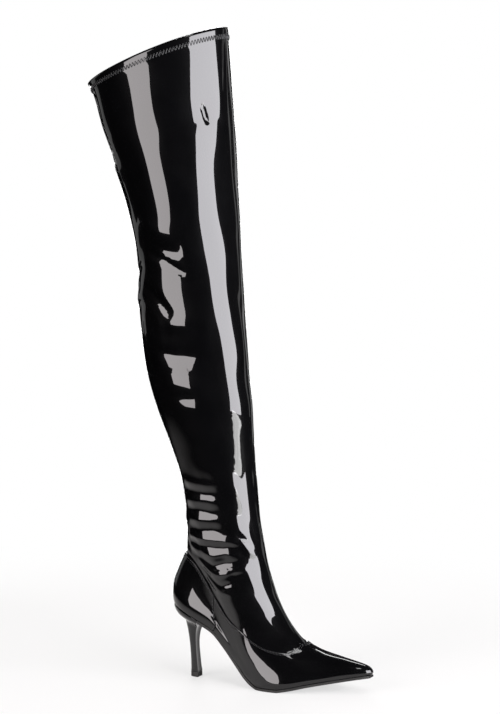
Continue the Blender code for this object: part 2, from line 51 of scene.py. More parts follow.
camera_data = bpy.data.cameras.new("camera")
camera_data.lens = camera_data.sensor_width * FOCAL_PIXELS / PICTURE_HEIGHT
camera = bpy.data.objects.new("camera", camera_data)
camera.location = (
    CAMERA_DISTANCE * sin(CAMERA_AZIMUTH),
    -CAMERA_DISTANCE * cos(CAMERA_AZIMUTH),
    CAMERA_HEIGHT,
)
camera.rotation_euler = (radians(90) - CAMERA_DOWN, 0, CAMERA_AZIMUTH - CAMERA_ASIDE)
bpy.context.scene.collection.objects.link(camera)
bpy.context.scene.camera = camera
bpy.context.scene.view_settings.view_transform = "Standard"


# Studio
# A pale floor in a dim room, with tall soft lamps whose reflections run down the
# patent as long strips, and weaker ones behind and overhead. Polished boards before
# two of the lamps carry their images to where the shaft faces the floor.
LAMP_DISTANCE = 2.2
MAIN_AZIMUTH, MAIN_WIDTH, MAIN_RADIANCE = 77.5, 45, 12.3
BACK_AZIMUTH, BACK_WIDTH, BACK_RADIANCE = 206, 14, 8.0
MAIN_COLOUR = (1.0, 0.985, 1.03)
SECOND_COLOUR = (1.0, 0.95, 0.96)
BOARD_FIRST, BOARD_LAST = 0.40, 2.15
BOARD_HEIGHT = 0.004
BOARD_DIM = 0.55


def area_lamp(name, place, width, height, radiance):
    # A flat lamp of one radiance all over, which the camera doesn't see.
    lamp = bpy.data.lights.new(name, "AREA")
    lamp.shape = "RECTANGLE"
    lamp.size = width
    lamp.size_y = height
    lamp.energy = radiance * width * height * pi
    item = bpy.data.objects.new(name, lamp)
    item.location = place
    item.visible_camera = False
    bpy.context.scene.collection.objects.link(item)
    return item


def soft_lamp(name, azimuth, width_angle, low, high, radiance):
    # A standing lamp that faces the boot, its width given as an angle.
    turn = radians(azimuth)
    width = 2 * LAMP_DISTANCE * np.tan(radians(width_angle / 2))
    place = (LAMP_DISTANCE * sin(turn), -LAMP_DISTANCE * cos(turn), (low + high) / 2)
    item = area_lamp(name, place, width, high - low, radiance)
    item.rotation_euler = (radians(90), 0, turn)
    return item


def hanging_lamp(name, place, aim, width, depth, radiance):
    # A lamp hung overhead and aimed at a point.
    item = area_lamp(name, place, width, depth, radiance)
    item.rotation_euler = (Vector(aim) - item.location).to_track_quat("-Z", "Y").to_euler()
    return item


def board_image(name, azimuth, width_angle, radiance, boards):
    # A lamp's image on the boards before it, which widens and brightens towards it.
    turn = radians(azimuth)
    edges = np.linspace(BOARD_FIRST, BOARD_LAST, boards + 1)
    for near, far in zip(edges[:-1], edges[1:]):
        reach = (near + far) / 2
        width = 2 * reach * np.tan(radians(width_angle / 2))
        place = (reach * sin(turn), -reach * cos(turn), BOARD_HEIGHT)
        share = (reach - BOARD_FIRST) / (BOARD_LAST - BOARD_FIRST)
        shown = radiance * (BOARD_DIM + (1 - BOARD_DIM) * share)
        board = area_lamp(name, place, width, far - near, shown)
        board.rotation_euler = (pi, 0, -turn)


main_lamp = soft_lamp("main_lamp", MAIN_AZIMUTH, MAIN_WIDTH, 0.01, 1.35, MAIN_RADIANCE)
main_lamp.data.color = MAIN_COLOUR
second_lamp = soft_lamp("second_lamp", -23, 30, 0.01, 1.60, 7.8)
second_lamp.data.color = SECOND_COLOUR
soft_lamp("back_lamp", 172, 10, 0.02, 1.50, 0.6)
soft_lamp("inner_lamp", 148, 8, 0.05, 1.50, 0.5)
soft_lamp("heel_lamp", -142, 14, 0.02, 0.40, 2.4)
soft_lamp("far_lamp", -105, 20, 0.05, 1.30, 0.4)
soft_lamp("back_strip", BACK_AZIMUTH, BACK_WIDTH, 0.05, 1.40, BACK_RADIANCE)
hanging_lamp("overhead_lamp", (0.62, -0.66, 1.90), (0.16, 0.0, 0.04), 0.26, 0.42, 8.0)
board_image("main_lamp_image", MAIN_AZIMUTH, MAIN_WIDTH, MAIN_RADIANCE, 9)
board_image("back_strip_image", BACK_AZIMUTH, BACK_WIDTH, BACK_RADIANCE, 5)
hanging_lamp("toe_lamp", (-0.60, 1.75, 1.65), (0.18, 0.0, 0.03), 1.2, 0.26, 7.0)
floor_fill = hanging_lamp("floor_fill", (0.0, 0.0, 2.8), (0.0, 0.0, 0.0), 3.0, 3.0, 1.3)
floor_fill.visible_glossy = False

FLOOR_SIZE = 16.0
floor_build = bmesh.new()
bmesh.ops.create_grid(floor_build, x_segments=1, y_segments=1, size=FLOOR_SIZE / 2)
floor_mesh = bpy.data.meshes.new("floor")
floor_build.to_mesh(floor_mesh)
floor_build.free()
floor = bpy.data.objects.new("floor", floor_mesh)
bpy.context.scene.collection.objects.link(floor)
# Near the boot the floor is lit paint; further off it is white to the camera and
# black in the patent's reflections, as a small table in a dark room would be.
TABLE_CENTRE = (-0.05, 0.10, 0.0)
TABLE_FIRST, TABLE_LAST = 0.30, 0.75
FLOOR_WHITE = 0.62
floor_paint = bpy.data.materials.new("floor_paint")
floor_paint.use_nodes = True
floor_nodes, floor_links = floor_paint.node_tree.nodes, floor_paint.node_tree.links
floor_shader = floor_nodes["Principled BSDF"]
floor_shader.inputs["Base Color"].default_value = (0.80, 0.785, 0.77, 1.0)
floor_shader.inputs["Roughness"].default_value = 0.85
floor_place = floor_nodes.new("ShaderNodeTexCoord")
floor_reach = floor_nodes.new("ShaderNodeVectorMath")
floor_reach.operation = "DISTANCE"
floor_reach.inputs[1].default_value = TABLE_CENTRE
floor_near = floor_nodes.new("ShaderNodeMapRange")
floor_near.interpolation_type = "SMOOTHSTEP"
floor_near.inputs["From Min"].default_value = TABLE_FIRST
floor_near.inputs["From Max"].default_value = TABLE_LAST
floor_near.inputs["To Min"].default_value = 1.0
floor_near.inputs["To Max"].default_value = 0.0
floor_ray = floor_nodes.new("ShaderNodeLightPath")
floor_far = floor_nodes.new("ShaderNodeEmission")
floor_mix = floor_nodes.new("ShaderNodeMixShader")
floor_out = floor_nodes["Material Output"]
floor_links.new(floor_place.outputs["Object"], floor_reach.inputs[0])
floor_links.new(floor_reach.outputs["Value"], floor_near.inputs["Value"])
floor_links.new(floor_ray.outputs["Is Camera Ray"], floor_far.inputs["Strength"])
floor_pale = floor_nodes.new("ShaderNodeMath")
floor_pale.operation = "MULTIPLY_ADD"
floor_pale.inputs[1].default_value = -FLOOR_WHITE
floor_pale.inputs[2].default_value = 1.0
floor_part = floor_nodes.new("ShaderNodeMath")
floor_part.operation = "MULTIPLY"
floor_links.new(floor_ray.outputs["Is Camera Ray"], floor_pale.inputs[0])
floor_links.new(floor_pale.outputs["Value"], floor_part.inputs[0])
floor_links.new(floor_near.outputs["Result"], floor_part.inputs[1])
floor_links.new(floor_part.outputs["Value"], floor_mix.inputs["Fac"])
floor_links.new(floor_far.outputs["Emission"], floor_mix.inputs[1])
floor_links.new(floor_shader.outputs["BSDF"], floor_mix.inputs[2])
floor_links.new(floor_mix.outputs["Shader"], floor_out.inputs["Surface"])
floor_mesh.materials.append(floor_paint)

# The background is white to the camera and dim in the patent's reflections.
world = bpy.data.worlds.new("studio")
bpy.context.scene.world = world
world.use_nodes = True
sky = world.node_tree.nodes["Background"]
ray = world.node_tree.nodes.new("ShaderNodeLightPath")
shade = world.node_tree.nodes.new("ShaderNodeMix")
shade.data_type = "RGBA"
shade.inputs["A"].default_value = (0.012, 0.011, 0.011, 1.0)
shade.inputs["B"].default_value = (1.0, 1.0, 1.0, 1.0)
world.node_tree.links.new(ray.outputs["Is Camera Ray"], shade.inputs["Factor"])
world.node_tree.links.new(shade.outputs["Result"], sky.inputs["Color"])


# Upper
# The stretch patent shaft and the sock of the foot, cut and sewn as one tube over
# the last and lined with knit. It has the same sizes and ring table as the CAD.
FOOT_LENGTH = 0.240
BOOT_HEIGHT = 0.730
SEAT_HEIGHT = 0.085
HALF_BALL = 0.039
UPPER_WALL = 0.0014
OVERLAY_WALL = 0.0012
SOLE_WALL = 0.0027
GAP = 0.0003
FEATHER_RINGS = 0.8

RING_COLUMNS = (
    "back_x", "back_rise", "front_x", "front_rise", "outer", "inner", "oval", "follow",
)
RINGS = (
    (-0.104, 0.0000, 0.878, 0.0000, 0.97, 1.00, 0.00, 1.00),
    (-0.109, 0.0097, 0.884, 0.0056, 1.01, 1.04, 0.00, 1.00),
    (-0.111, 0.0221, 0.858, 0.0123, 0.99, 1.01, 0.05, 0.97),
    (-0.103, 0.0402, 0.758, 0.0200, 0.91, 0.94, 0.12, 0.85),
    (-0.078, 0.0640, 0.640, 0.0287, 0.84, 0.86, 0.25, 0.70),
    (-0.046, 0.0900, 0.548, 0.0431, 0.80, 0.82, 0.45, 0.52),
    (-0.041, 0.1048, 0.475, 0.0709, 0.80, 0.81, 0.65, 0.34),
    (-0.039, 0.1183, 0.417, 0.1059, 0.81, 0.81, 0.82, 0.18),
    (-0.040, 0.1342, 0.375, 0.1429, 0.83, 0.82, 0.95, 0.06),
    (-0.041, 0.1523, 0.344, 0.1851, 0.86, 0.85, 1.00, 0.00),
    (-0.043, 0.1806, 0.319, 0.2314, 0.88, 0.88, 1.00, 0.00),
    (-0.066, 0.2270, 0.300, 0.2880, 0.95, 0.95, 1.00, 0.00),
    (-0.108, 0.2734, 0.285, 0.3364, 1.03, 1.03, 1.00, 0.00),
    (-0.196, 0.3560, 0.267, 0.4125, 1.20, 1.20, 1.00, 0.00),
    (-0.254, 0.4386, 0.245, 0.4897, 1.29, 1.29, 1.00, 0.00),
    (-0.275, 0.5247, 0.228, 0.5710, 1.31, 1.31, 1.00, 0.00),
    (-0.285, 0.6084, 0.217, 0.6533, 1.32, 1.32, 1.00, 0.00),
    (-0.333, 0.6888, 0.202, 0.7387, 1.41, 1.41, 1.00, 0.00),
    (-0.400, 0.7601, 0.185, 0.8241, 1.53, 1.53, 1.00, 0.00),
    (-0.475, 0.8291, 0.158, 0.9125, 1.64, 1.64, 1.00, 0.00),
    (-0.530, 0.8993, 0.130, 1.0000, 1.70, 1.70, 1.00, 0.00),
)
NUMBERED_RINGS = tuple((k,) + row for k, row in enumerate(RINGS))
LAST_RING = len(RINGS) - 1.0

OUTLINE_COLUMNS = ("station", "outer", "inner", "drift")
OUTLINE = (
    (0.00, 1.10, 1.10, 0.000),
    (0.05, 1.04, 1.04, 0.000),
    (0.12, 0.91, 0.91, -0.005),
    (0.22, 0.75, 0.70, -0.020),
    (0.34, 0.69, 0.57, -0.030),
    (0.45, 0.82, 0.68, -0.020),
    (0.55, 1.01, 0.92, -0.005),
    (0.64, 1.04, 1.02, 0.020),
    (0.74, 0.90, 0.96, 0.050),
    (0.85, 0.70, 0.78, 0.085),
    (0.93, 0.62, 0.66, 0.105),
    (1.00, 0.60, 0.60, 0.110),
)
SOLE = (
    (0.000, 1.000),
    (0.080, 0.906),
    (0.160, 0.812),
    (0.200, 0.762),
    (0.245, 0.690),
    (0.310, 0.500),
    (0.378, 0.285),
    (0.424, 0.150),
    (0.460, 0.075),
    (0.500, 0.030),
    (0.585, 0.030),
    (0.640, 0.056),
    (0.740, 0.118),
    (0.860, 0.178),
    (0.960, 0.226),
    (1.000, 0.241),
)


def smooth(table, column, x):
    # Cubic curve through one column of a table, its first column being the position.
    knots = np.array([row[0] for row in table])
    values = np.array([row[column] for row in table])
    slopes = np.gradient(values, knots)
    x = np.clip(np.asarray(x, float), knots[0], knots[-1])
    i = np.clip(np.searchsorted(knots, x, side="right") - 1, 0, len(knots) - 2)
    span = knots[i + 1] - knots[i]
    q = (x - knots[i]) / span
    a = values[i] * (2 * q**3 - 3 * q**2 + 1)
    b = slopes[i] * span * (q**3 - 2 * q**2 + q)
    c = values[i + 1] * (3 * q**2 - 2 * q**3)
    d = slopes[i + 1] * span * (q**3 - q**2)
    return a + b + c + d


def ring_value(name, t):
    return smooth(NUMBERED_RINGS, RING_COLUMNS.index(name) + 1, t)


def outline_value(name, station):
    return smooth(OUTLINE, OUTLINE_COLUMNS.index(name), station)


def sole_height(station):
    return np.maximum(SEAT_HEIGHT * smooth(SOLE, 1, station), SOLE_WALL + GAP)


def last_point(u, t):
    # u runs from the back (0) over the outer side to the front (0.5) and back inside.
    angle = 2 * pi * np.asarray(u, float)
    station = (1 - np.cos(angle)) / 2
    outer = np.sin(angle) >= 0
    back_x = FOOT_LENGTH * ring_value("back_x", t)
    front_x = FOOT_LENGTH * ring_value("front_x", t)
    heel_level = sole_height(0.0)
    toe_level = sole_height(1.0)
    back_z = heel_level + (BOOT_HEIGHT - heel_level) * ring_value("back_rise", t)
    front_z = toe_level + (BOOT_HEIGHT - toe_level) * ring_value("front_rise", t)
    oval = ring_value("oval", t)
    half = HALF_BALL * np.where(outer, ring_value("outer", t), ring_value("inner", t))
    plan = np.where(outer, outline_value("outer", station), outline_value("inner", station))
    full = plan * (1 - oval) + oval
    drift = HALF_BALL * outline_value("drift", station) * (1 - oval)
    dip = sole_height(station) - (heel_level * (1 - station) + toe_level * station)
    x = back_x + (front_x - back_x) * station
    y = drift - half * np.sin(angle) * full
    z = back_z + (front_z - back_z) * station + ring_value("follow", t) * dip
    return np.stack([x, y, z], axis=-1)


def surface(u, t, out=0.0):
    # Point of the upper's outside, moved out along the surface normal.
    u = np.asarray(u, float)
    t = np.asarray(t, float)
    step = 0.002
    t_low = np.clip(t - step, 0.0, LAST_RING)
    t_high = np.clip(t + step, 0.0, LAST_RING)
    along = last_point(u + step, t) - last_point(u - step, t)
    up = last_point(u, t_high) - last_point(u, t_low)
    normal = np.cross(along, up)
    blend = np.clip(t / FEATHER_RINGS, 0.0, 1.0)
    station = (1 - np.cos(2 * pi * u)) / 2
    run = FOOT_LENGTH * (RINGS[0][2] - RINGS[0][0])
    slope = (sole_height(station + step) - sole_height(station - step)) / (2 * step * run)
    normal[..., 2] = normal[..., 2] * blend + normal[..., 0] * slope * (1 - blend)
    normal /= np.linalg.norm(normal, axis=-1, keepdims=True)
    return last_point(u, t) + normal * np.asarray(out, float)[..., None]


def along_width(u, t):
    # Metres of the surface to one whole turn of u.
    step = 0.002
    ahead = last_point(u + step, t) - last_point(u - step, t)
    return np.linalg.norm(ahead, axis=-1) / (2 * step)


# Folds: height and half width in millimetres, then the places that the crest runs
# through. A minus height is a trough. First come the ankle and the instep, then the
# calf, the back of the knee, the thigh, the hem's corner and the inner side.
FOLDS = (
    (0.7, 4.5, ((0.11, 11.00), (0.20, 10.90), (0.30, 10.92))),
    (-0.9, 5.0, ((0.10, 10.62), (0.20, 10.64), (0.30, 10.70))),
    (1.0, 5.0, ((0.10, 10.27), (0.20, 10.34), (0.30, 10.42))),
    (-0.9, 5.0, ((0.10, 9.85), (0.20, 10.02), (0.30, 10.15))),
    (0.9, 5.0, ((0.10, 9.30), (0.20, 9.58), (0.30, 9.82))),
    (-0.9, 5.0, ((0.10, 8.65), (0.20, 9.12), (0.30, 9.46))),
    (1.2, 3.2, ((0.10, 7.95), (0.20, 8.58), (0.30, 9.02), (0.37, 9.12))),
    (-0.8, 3.4, ((0.09, 7.30), (0.19, 8.10), (0.29, 8.70), (0.36, 8.92))),
    (0.6, 3.0, ((0.10, 6.90), (0.19, 7.60), (0.28, 8.34), (0.36, 8.70))),
    (-0.9, 2.8, ((0.12, 6.55), (0.20, 7.20), (0.29, 8.02), (0.37, 8.50))),
    (0.8, 2.6, ((0.14, 6.25), (0.22, 6.92), (0.30, 7.68), (0.37, 8.15))),
    (-0.7, 2.6, ((0.15, 5.95), (0.23, 6.55), (0.30, 7.25))),
    (0.5, 3.0, ((0.15, 5.70), (0.22, 6.10), (0.28, 6.60))),
    (-1.0, 3.2, ((0.35, 9.50), (0.39, 9.30), (0.43, 8.95))),
    (0.8, 4.0, ((0.36, 9.20), (0.40, 9.02), (0.43, 8.72))),
    (0.6, 4.0, ((0.22, 12.98), (0.27, 12.97), (0.31, 12.98))),
    (-0.7, 4.0, ((0.22, 13.18), (0.27, 13.15), (0.31, 13.13))),
    (1.2, 8.0, ((0.18, 13.45), (0.25, 13.42), (0.32, 13.42))),
    (-1.3, 8.0, ((0.17, 14.10), (0.24, 14.05), (0.32, 14.05))),
    (0.9, 8.0, ((0.19, 14.75), (0.25, 14.65), (0.31, 14.60))),
    (-1.7, 2.8, ((0.165, 16.12), (0.23, 15.90), (0.30, 15.62))),
    (-2.1, 5.0, ((0.14, 15.45), (0.20, 15.14), (0.255, 14.80))),
    (0.8, 5.0, ((0.14, 15.05), (0.18, 14.82), (0.22, 14.45))),
    (-1.3, 7.0, ((0.13, 16.35), (0.21, 16.18), (0.29, 16.02))),
    (1.0, 8.0, ((0.15, 16.75), (0.22, 16.48), (0.29, 16.36))),
    (-1.4, 5.0, ((0.03, 15.35), (0.08, 15.62), (0.14, 15.85))),
    (1.2, 6.0, ((0.03, 14.70), (0.08, 15.10), (0.14, 15.25))),
    (-0.6, 3.0, ((0.060, 16.40), (0.055, 15.40), (0.060, 14.20))),
    (0.6, 3.2, ((0.090, 16.30), (0.085, 15.30), (0.090, 14.00))),
    (-0.5, 3.0, ((0.120, 14.90), (0.115, 14.00), (0.125, 12.80))),
    (-1.7, 2.7, ((0.399, 18.76), (0.405, 18.55), (0.412, 18.34))),
    (0.5, 9.0, ((0.380, 18.45), (0.420, 18.30), (0.450, 18.35))),
    (-1.1, 2.6, ((0.488, 19.98), (0.478, 19.20), (0.468, 18.45))),
    (-6.0, 15.0, ((0.070, 20.00), (0.074, 19.20), (0.070, 17.90))),
    (-1.0, 3.0, ((0.028, 19.95), (0.034, 19.40), (0.050, 18.80))),
    (0.9, 3.2, ((0.055, 19.95), (0.060, 19.30), (0.075, 18.50))),
    (-0.7, 4.0, ((0.085, 19.60), (0.090, 18.90), (0.100, 18.00))),
    (0.6, 4.0, ((0.120, 19.30), (0.115, 18.40), (0.125, 17.60))),
    (-1.2, 4.0, ((0.86, 10.80), (0.76, 10.35), (0.68, 10.20))),
    (1.0, 4.5, ((0.88, 10.20), (0.78, 9.90), (0.68, 9.80))),
    (-1.2, 4.0, ((0.90, 9.50), (0.80, 9.35), (0.69, 9.40))),
    (1.1, 4.5, ((0.91, 8.80), (0.80, 8.85), (0.69, 9.00))),
    (-1.2, 4.0, ((0.92, 8.10), (0.80, 8.35), (0.68, 8.65))),
    (1.0, 4.5, ((0.92, 7.30), (0.80, 7.70), (0.68, 8.15))),
    (-0.9, 3.5, ((0.90, 6.70), (0.80, 7.00), (0.69, 7.50))),
    (-1.1, 5.0, ((0.95, 15.50), (0.87, 15.80), (0.79, 15.60))),
    (1.1, 7.0, ((0.96, 14.80), (0.87, 15.10), (0.78, 14.90))),
    (-0.9, 5.0, ((0.95, 14.20), (0.86, 14.30), (0.78, 14.10))),
    (0.8, 8.0, ((0.94, 16.60), (0.86, 16.50), (0.77, 16.30))),
)
# Turns of the outer side's panel from the smooth form, in degrees towards the toe,
# by ring number and at six places from the side to the shin.
TURN_FIRST, TURN_STEP = 0.20, 0.05
PANEL_TURNS = (
    (5.0, 0, 0, 0, 0, 0, 0),
    (6.0, 0, 0, 0, 3, 4, 2),
    (7.0, 0, 0, 0, 3, 4, 3),
    (8.0, 3, 2, -5, 1, 2, 3),
    (9.0, 8, 2, -9, 0, 0, 0),
    (10.0, 9, 2, -10, 1, 2, 1),
    (10.6, 8, 2, -9, 0, 1, 0),
    (11.5, 0, 0, 0, -1, -2, 0),
    (12.0, 0, 0, 0, -2, -5, 0),
    (12.5, 0, 0, -1, -3, -7, 0),
    (13.0, 0, 0, -2, -4, -10, 0),
    (13.5, 5, 2, -5, -4, -11, 3),
    (14.0, 5, 2, -5, -3, -11, -1),
    (14.8, 3, -4, -8, -1, -3, 4),
    (15.5, 3, 2, 0, 0, -3, 4),
    (16.0, 0, 0, -1, 5, 1, 3),
    (16.5, -6, 2, 5, 7, 3, 2),
    (17.0, -5, -1, 4, 7, 6, 3),
    (17.5, -4, -1, 3, 5, 8, 3),
    (18.0, -2, -1, 2, 2, 4, 3),
    (18.5, 0, 0, 0, 3, 0, -6),
    (19.0, 0, -3, -1, 2, 0, -7),
    (20.0, 0, -3, -3, -2, -3, -7),
)
RIPPLES = (
    (0.16, 9, 0.55, 0.4),
    (0.09, 14, -0.80, 1.9),
    (0.16, 6, 1.35, 4.1),
    (0.05, 21, 1.05, 2.6),
)
TIGHT_RING, TIGHT_REACH, TIGHT_SHARE = 12.0, 1.3, 0.9
PANEL_MIDDLE = 0.36
FOLDS_FIRST, FOLDS_BLEND = 5.0, 1.2
RIPPLES_FIRST, RIPPLES_BLEND = 5.5, 2.0
RIM_BLEND, RIM_LEAST = 1.5, 0.25
HEM_DEPTH = 0.0135
HEM_RISE = 0.0005
HEM_STEP = 0.002
RIM_RISE = (1 - RINGS[-2][3]) * BOOT_HEIGHT
RIDGE_SAMPLES = 61


def fold_line(route):
    # Evenly taken points of one smooth crest through a fold's places.
    places = np.linspace(0.0, len(route) - 1.0, RIDGE_SAMPLES)
    table = tuple((k,) + tuple(point) for k, point in enumerate(route))
    return surface(smooth(table, 1, places), smooth(table, 2, places))


def fold_height(points):
    # How far all folds together move points of the surface out, in metres.
    total = np.zeros(len(points))
    for height, width, route in FOLDS:
        crest = fold_line(route)
        reach = 3 * width / 1000
        near = np.all((points > crest.min(0) - reach) & (points < crest.max(0) + reach), axis=1)
        here = points[near]
        apart = np.linalg.norm(here[:, None, :] - crest[None, :, :], axis=2)
        nearest = apart.argmin(1)
        share = 2 * nearest / (RIDGE_SAMPLES - 1) - 1
        taper = 1 - np.abs(share) ** 3
        total[near] += height * taper * np.exp(-((apart.min(1) * 1000 / width) ** 2))
    return total / 1000


def ripple_height(u, t):
    # The faint waves of stretch patent that hangs without a leg in it. They are
    # weakest above the ankle, where the shaft is drawn tight.
    calm = np.clip((t - RIPPLES_FIRST) / RIPPLES_BLEND, 0.0, 1.0)
    calm *= np.clip((LAST_RING - t) / RIM_BLEND, RIM_LEAST, 1.0)
    calm *= 1 - TIGHT_SHARE * np.exp(-(((t - TIGHT_RING) / TIGHT_REACH) ** 2))
    total = np.zeros_like(t)
    for height, around, along, start in RIPPLES:
        total += height * np.sin(2 * pi * (around * u + along * t / 2) + start)
    return total * calm / 1000


def gathered(q):
    # Integral of a raised cosine of half width one.
    q = np.clip(q, -1.0, 1.0)
    return (q + np.sin(pi * q) / pi + 1) / 2


def panel_height(u, t):
    # Turned panels as a height, which two last turns at the shin bring back to zero.
    metres = along_width(np.full_like(t, PANEL_MIDDLE), t) * TURN_STEP
    total = np.zeros_like(t)
    rest = np.zeros_like(t)
    columns = len(PANEL_TURNS[0]) - 1
    for k in range(columns):
        turn = np.radians(smooth(PANEL_TURNS, k + 1, t))
        total -= turn * gathered((u - TURN_FIRST - k * TURN_STEP) / TURN_STEP)
        rest += turn / 2
    for k in (columns, columns + 1):
        total += rest * gathered((u - TURN_FIRST - k * TURN_STEP) / TURN_STEP)
    return total * metres


def below_rim(t):
    # Metres below the rim, near which the rings stand evenly.
    return (LAST_RING - t) * RIM_RISE


def hem_height(t):
    # The folded hem stands a little proud of the shaft down to its stitching.
    return HEM_RISE * np.clip((HEM_DEPTH - below_rim(t)) / HEM_STEP, 0.0, 1.0)


def upper_out(u, t):
    # Everything that stands off the last's smooth form, calmed under the overlays.
    flat_u, flat_t = u.ravel() % 1.0, t.ravel()
    relief = fold_height(surface(flat_u, flat_t))
    relief += ripple_height(flat_u, flat_t) + panel_height(flat_u, flat_t)
    relief *= np.clip((flat_t - FOLDS_FIRST) / FOLDS_BLEND, 0.0, 1.0)
    return (relief + hem_height(flat_t)).reshape(u.shape)


ZIP_STATION = 0.60
ZIP_SLOT = 0.0080
ZIP_U = 1 - np.arccos(1 - 2 * ZIP_STATION) / (2 * pi)
RING_STEP = 15 / 22
SLOT_LOW = 5 + 3 * RING_STEP
SLOT_HIGH = 5 + 13 * RING_STEP
SLOT_FADE_RING = 5.5
AROUND = 200
SLOT_CELLS = 3
SLOT_BLEND = 16
HEM_PAINT = 2


def grid_mesh(across, up):
    # A grid of faces with rows and columns to be laid on the last.
    build = bmesh.new()
    bmesh.ops.create_grid(build, x_segments=across, y_segments=up, size=0.5)
    build.verts.ensure_lookup_table()
    at = np.array([(v.co.x + 0.5, v.co.y + 0.5) for v in build.verts])
    column = np.rint(at[:, 0] * across).astype(int)
    row = np.rint(at[:, 1] * up).astype(int)
    return build, column, row


def lay(build, points):
    for vertex, point in zip(build.verts, points):
        vertex.co = point


def finish_piece(name, build, paints, body="boot", replaced=(),
                 smooth_faces=True):
    # Closes a bmesh into a piece that rides on its body.
    shape = bpy.data.meshes.new(name)
    build.to_mesh(shape)
    build.free()
    for face in shape.polygons:
        face.use_smooth = smooth_faces
    for paint in paints:
        shape.materials.append(paint)
    piece = bpy.data.objects.new(name, shape)
    bpy.context.scene.collection.objects.link(piece)
    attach(piece, body)
    if replaced:
        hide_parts(*replaced)
    return piece


def thicken(piece, wall, inner_paint=0):
    # A wall behind the laid surface, with its own paint inside.
    made = piece.modifiers.new("wall", "SOLIDIFY")
    made.thickness = wall
    made.offset = -1
    made.use_even_offset = False
    made.material_offset = inner_paint


def round_edges(piece, width, segments=2, angle=40):
    made = piece.modifiers.new("edges", "BEVEL")
    made.width = width
    made.segments = segments
    made.limit_method = "ANGLE"
    made.angle_limit = radians(angle)


def bump_group(name, coarse_detail, fine_detail):
    # Height of a surface from two sizes of noise, with named inputs for each use.
    group = bpy.data.node_groups.new(name, "ShaderNodeTree")
    group.interface.new_socket("Coarse Scale", in_out="INPUT", socket_type="NodeSocketFloat")
    group.interface.new_socket("Fine Scale", in_out="INPUT", socket_type="NodeSocketFloat")
    group.interface.new_socket("Fine Share", in_out="INPUT", socket_type="NodeSocketFloat")
    group.interface.new_socket("Height", in_out="OUTPUT", socket_type="NodeSocketFloat")
    group.interface.new_socket("Mask", in_out="OUTPUT", socket_type="NodeSocketFloat")
    nodes, links = group.nodes, group.links
    entry = nodes.new("NodeGroupInput")
    leave = nodes.new("NodeGroupOutput")
    place = nodes.new("ShaderNodeTexCoord")
    wide = nodes.new("ShaderNodeTexNoise")
    wide.inputs["Detail"].default_value = coarse_detail
    close = nodes.new("ShaderNodeTexNoise")
    close.inputs["Detail"].default_value = fine_detail
    both = nodes.new("ShaderNodeMix")
    links.new(place.outputs["Object"], wide.inputs["Vector"])
    links.new(place.outputs["Object"], close.inputs["Vector"])
    links.new(entry.outputs["Coarse Scale"], wide.inputs["Scale"])
    links.new(entry.outputs["Fine Scale"], close.inputs["Scale"])
    links.new(entry.outputs["Fine Share"], both.inputs["Factor"])
    links.new(wide.outputs["Fac"], both.inputs["A"])
    links.new(close.outputs["Fac"], both.inputs["B"])
    links.new(both.outputs["Result"], leave.inputs["Height"])
    links.new(wide.outputs["Fac"], leave.inputs["Mask"])
    return group


surface_noise = bump_group("surface_noise", 2.0, 3.0)


def finish_paint(name, dark, light, rough, coarse, fine, fine_share, bump, depth,
                 coat=0.0, coat_rough=0.03, specular=0.5, metallic=0.0):
    # A finish whose colour, roughness and bump all follow the surface noise.
    paint = bpy.data.materials.new(name)
    paint.use_nodes = True
    nodes, links = paint.node_tree.nodes, paint.node_tree.links
    shader = nodes["Principled BSDF"]
    noise = nodes.new("ShaderNodeGroup")
    noise.node_tree = surface_noise
    noise.inputs["Coarse Scale"].default_value = coarse
    noise.inputs["Fine Scale"].default_value = fine
    noise.inputs["Fine Share"].default_value = fine_share
    tone = nodes.new("ShaderNodeMix")
    tone.data_type = "RGBA"
    tone.inputs["A"].default_value = (*dark, 1.0)
    tone.inputs["B"].default_value = (*light, 1.0)
    links.new(noise.outputs["Mask"], tone.inputs["Factor"])
    links.new(tone.outputs["Result"], shader.inputs["Base Color"])
    spread = nodes.new("ShaderNodeMapRange")
    spread.inputs["To Min"].default_value = rough[0]
    spread.inputs["To Max"].default_value = rough[1]
    links.new(noise.outputs["Mask"], spread.inputs["Value"])
    links.new(spread.outputs["Result"], shader.inputs["Roughness"])
    relief = nodes.new("ShaderNodeBump")
    relief.inputs["Strength"].default_value = bump
    relief.inputs["Distance"].default_value = depth
    links.new(noise.outputs["Height"], relief.inputs["Height"])
    links.new(relief.outputs["Normal"], shader.inputs["Normal"])
    if coat:
        shader.inputs["Coat Weight"].default_value = coat
        shader.inputs["Coat Roughness"].default_value = coat_rough
        links.new(relief.outputs["Normal"], shader.inputs["Coat Normal"])
    shader.inputs["Specular IOR Level"].default_value = specular
    shader.inputs["Metallic"].default_value = metallic
    return paint


BLACK = (0.0010, 0.0010, 0.0012)
SOFT_BLACK = (0.0022, 0.0022, 0.0025)
shaft_patent = finish_paint("shaft_patent", BLACK, SOFT_BLACK, (0.26, 0.34), 34, 420,
                            0.02, 0.10, 0.0006, coat=1.0, coat_rough=0.02, specular=0.02)
lining_knit = finish_paint("lining_knit", (0.060, 0.060, 0.063), (0.120, 0.120, 0.124),
                           (0.85, 0.95), 500, 2600, 0.7, 0.6, 0.0006)

